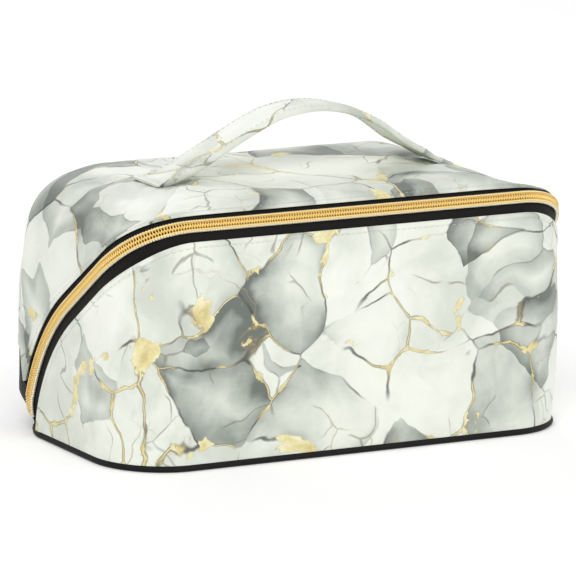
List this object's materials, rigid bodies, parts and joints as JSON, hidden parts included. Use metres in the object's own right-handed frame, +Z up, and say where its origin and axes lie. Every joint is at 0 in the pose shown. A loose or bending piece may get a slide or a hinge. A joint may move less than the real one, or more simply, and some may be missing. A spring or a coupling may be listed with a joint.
{
  "type": "soft makeup train case",
  "caption": "Soft box-shaped makeup case in marble-print sheet; a zip sweeps round front and ends so the lid folds back on a hinge strip; strap handle on the lid.",
  "frame": {"origin": "middle of the bottom panel's underside, on the table", "axes": "+X along the length to the right end seen from the front, +Y to the back, where the lid hinges, +Z up"},
  "size_m": [0.2585, 0.134, 0.1597],
  "materials": {
    "printed_sheet": "fine-grained coated cloth printed with grey and gold marble veins, satin",
    "foam": "soft closed foam sheet",
    "lining_cloth": "black plain-woven polyester lining",
    "black_trim": "black coated cloth, fine grain",
    "zip_cloth": "black woven zip tape",
    "zip_coil": "gold-coated coil",
    "stiff_board": "plain stiffening sheet",
    "gold_metal": "polished gold plate on cast metal"
  },
  "bodies": {
    "base": {"bottom_panel": "black_trim", "bottom_board": "stiff_board", "bottom_piping": "black_trim", "base_skin": "printed_sheet", "base_padding": "foam", "base_lining": "lining_cloth", "base_binding": "black_trim", "hinge_strip": "black_trim", "base_zip_tape": "zip_cloth", "base_zip_coil": "zip_coil", "zip_stop": "gold_metal", "divider": "lining_cloth"},
    "lid": {"lid_skin": "printed_sheet", "hinge_gusset": "black_trim", "lid_padding": "foam", "lid_lining": "lining_cloth", "lid_binding": "black_trim", "lid_zip_tape": "zip_cloth", "lid_zip_coil": "zip_coil", "handle_core": "foam", "handle_cover": "printed_sheet", "handle_patches": "lining_cloth", "brush_sleeve": "lining_cloth", "sleeve_elastic": "black_trim"},
    "slider": {"zip_slider": "gold_metal", "slider_bail": "gold_metal"},
    "pull": {"zip_pull": "gold_metal"}
  },
  "joints": [
    {"name": "lid_hinge", "type": "hinge", "parent": "base", "child": "lid", "pos_m": [0, 0.0654, 0.009], "axis": [-1, 0, 0], "range_deg": [0, 92]},
    {"name": "slider_travel", "type": "hinge", "parent": "base", "child": "slider", "pos_m": [0.125, -0.06365, -0.00883], "axis": [1, 0, 0], "range_deg": [0, 23]},
    {"name": "pull_swing", "type": "hinge", "parent": "slider", "child": "pull", "pos_m": [0.1299, 0.02698, 0.03343], "axis": [0, -0.9063, -0.4226], "range_deg": [0, 160]}
  ]
}
